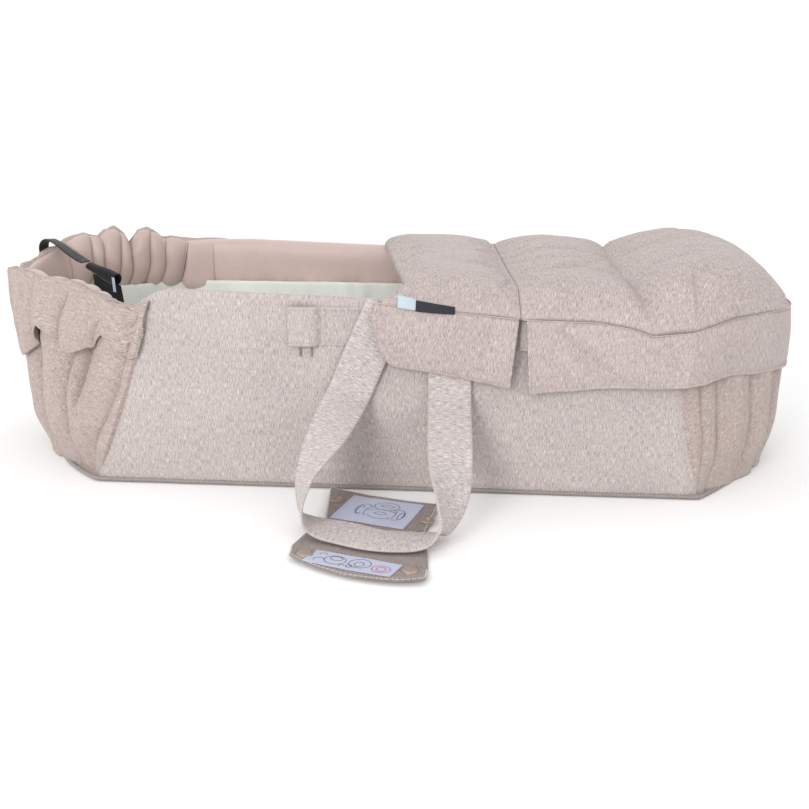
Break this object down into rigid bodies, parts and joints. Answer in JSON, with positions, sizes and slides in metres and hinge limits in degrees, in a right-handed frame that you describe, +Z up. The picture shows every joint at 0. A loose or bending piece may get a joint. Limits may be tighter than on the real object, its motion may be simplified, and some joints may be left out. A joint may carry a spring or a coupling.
{
  "type": "soft carrycot",
  "caption": "Soft baby carrycot with gathered ends, padded rim, fold-back foot cover and two carrying straps, one with a snap grip wrap.",
  "frame": {"origin": "middle of the flat underside of the base", "axes": "+X towards the foot end, -Y towards the side with the grip wrap, +Z up"},
  "size_m": [0.8007, 0.6375, 0.2229],
  "materials": {
    "heather_fabric": "matt heather weave",
    "tan_lining": "smooth satin weave",
    "white_liner": "matt cotton",
    "mattress_cover": "matt cotton",
    "stiffener_board": "matt",
    "base_piping": "matt bound seam",
    "black_elastic": "matt",
    "black_webbing": "ribbed weave",
    "sewn_label": "satin ribbon",
    "dark_tag": "satin ribbon",
    "snap_plastic": "satin",
    "wadding": "fluffy",
    "wrap_fabric": "matt heather weave",
    "strap_fabric": "matt heather weave"
  },
  "bodies": {
    "cot": {"base_fabric": "heather_fabric", "base_board": "stiffener_board", "base_piping": "base_piping", "mattress": "mattress_cover", "inner_liner": "white_liner", "front_side_panel": "heather_fabric", "rear_side_panel": "heather_fabric", "front_side_board": "stiffener_board", "rear_side_board": "stiffener_board", "front_bumper": "tan_lining", "rear_bumper": "tan_lining", "head_gather": "heather_fabric", "head_elastic": "black_elastic", "head_lining": "tan_lining", "foot_gather": "heather_fabric", "foot_elastic": "black_elastic", "foot_lining": "tan_lining", "front_belt_loop_left": "heather_fabric", "front_belt_loop_right": "heather_fabric", "rear_belt_loop_left": "heather_fabric", "rear_belt_loop_right": "heather_fabric", "front_strap_roots": "strap_fabric", "rear_strap_roots": "strap_fabric", "tether_webbing": "black_webbing", "cover_foot_top": "heather_fabric", "cover_foot_wadding": "wadding", "cover_foot_lining": "heather_fabric", "cover_foot_skirt": "heather_fabric", "slit_elastics": "black_elastic"},
    "cover_flap": {"cover_flap_top": "heather_fabric", "cover_flap_wadding": "wadding", "cover_flap_lining": "heather_fabric", "cover_flap_skirt_front": "heather_fabric", "cover_flap_skirt_rear": "heather_fabric", "tag_light": "sewn_label", "tag_dark": "dark_tag"},
    "front_strap": {"front_strap_left": "strap_fabric", "front_strap_grip": "strap_fabric", "front_strap_right": "strap_fabric", "wrap_centre": "wrap_fabric"},
    "near_flap": {"wrap_near_flap": "wrap_fabric", "wrap_snap_caps": "snap_plastic", "wrap_near_label": "sewn_label"},
    "far_flap": {"wrap_far_flap": "wrap_fabric", "wrap_snap_sockets": "snap_plastic", "wrap_far_label": "sewn_label"},
    "rear_strap": {"rear_strap_left": "strap_fabric", "rear_strap_grip": "strap_fabric", "rear_strap_right": "strap_fabric"},
    "tether": {"tether_sleeve": "black_webbing", "tether_flap": "black_webbing", "tether_label": "sewn_label"}
  },
  "joints": [
    {"name": "cover_fold", "type": "hinge", "parent": "cot", "child": "cover_flap", "pos_m": [0.104, 0, 0.2035], "axis": [-0.0958, 0.9954, 0], "range_deg": [0, 150]},
    {"name": "front_strap_swing", "type": "hinge", "parent": "cot", "child": "front_strap", "pos_m": [0.01, -0.1468, 0.1], "axis": [-1, 0, 0], "range_deg": [0, 80]},
    {"name": "near_flap_fold", "type": "hinge", "parent": "front_strap", "child": "near_flap", "pos_m": [-0.02389, -0.29542, 0.0025], "axis": [-0.9563, 0.2924, 0], "range_deg": [0, 110]},
    {"name": "far_flap_fold", "type": "hinge", "parent": "front_strap", "child": "far_flap", "pos_m": [-0.00611, -0.23728, 0.0025], "axis": [0.9563, -0.2924, 0], "range_deg": [0, 70]},
    {"name": "rear_strap_swing", "type": "hinge", "parent": "cot", "child": "rear_strap", "pos_m": [0.01, 0.1468, 0.1], "axis": [1, 0, 0], "range_deg": [0, 55]},
    {"name": "tether_swing", "type": "hinge", "parent": "cot", "child": "tether", "pos_m": [-0.338, 0.012, 0.184], "axis": [-0.4226, -0.9063, 0], "range_deg": [0, 80]}
  ]
}
